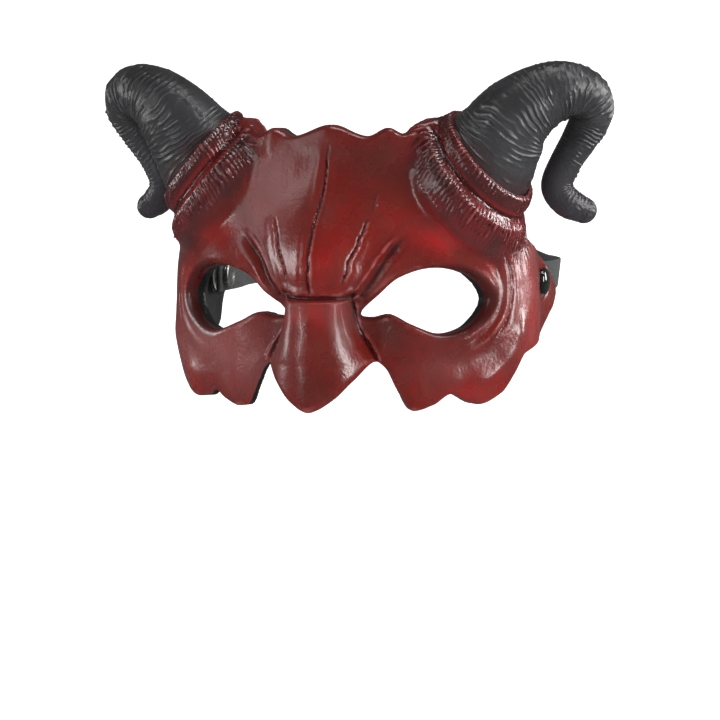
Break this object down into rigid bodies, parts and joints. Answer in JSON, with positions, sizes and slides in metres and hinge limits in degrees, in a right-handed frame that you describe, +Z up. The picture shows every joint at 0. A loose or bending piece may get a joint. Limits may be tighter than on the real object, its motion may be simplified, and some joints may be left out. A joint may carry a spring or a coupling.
{
  "type": "horned half mask",
  "caption": "Moulded foam half mask of a devil face with hooked nose, ringed horn collars, curled horns and a riveted elastic strap.",
  "frame": {"origin": "midway between the two strap rivets, inside the mask, where the wearer's temples are", "axes": "+X towards the right horn as a viewer facing the mask sees it, +Y from the face back into the head, +Z up"},
  "size_m": [0.2308, 0.22, 0.1476],
  "materials": {
    "painted_foam": "polyurethane foam skin painted dark red with a black wash under clear lacquer",
    "horn_foam": "self-skinned polyurethane foam, dark grey, satin, finely wrinkled",
    "black_cap": "gloss black",
    "steel": "nickel plated",
    "nylon": "natural nylon",
    "webbing": "ribbed woven elastic, dark grey"
  },
  "bodies": {
    "mask": {"face_shell": "painted_foam", "horn_left": "horn_foam", "horn_right": "horn_foam", "rivet_cap_left": "black_cap", "rivet_cap_right": "black_cap", "rivet_post_left": "steel", "rivet_post_right": "steel", "rivet_washer_left": "nylon", "rivet_washer_right": "nylon"},
    "strap": {"elastic_strap": "webbing", "strap_eyelet_left": "steel", "strap_eyelet_right": "steel"}
  },
  "joints": [
    {"name": "strap_swing", "type": "hinge", "parent": "mask", "child": "strap", "pos_m": [0, 0, 0], "axis": [1, 0, 0], "range_deg": [-60, 75]}
  ]
}
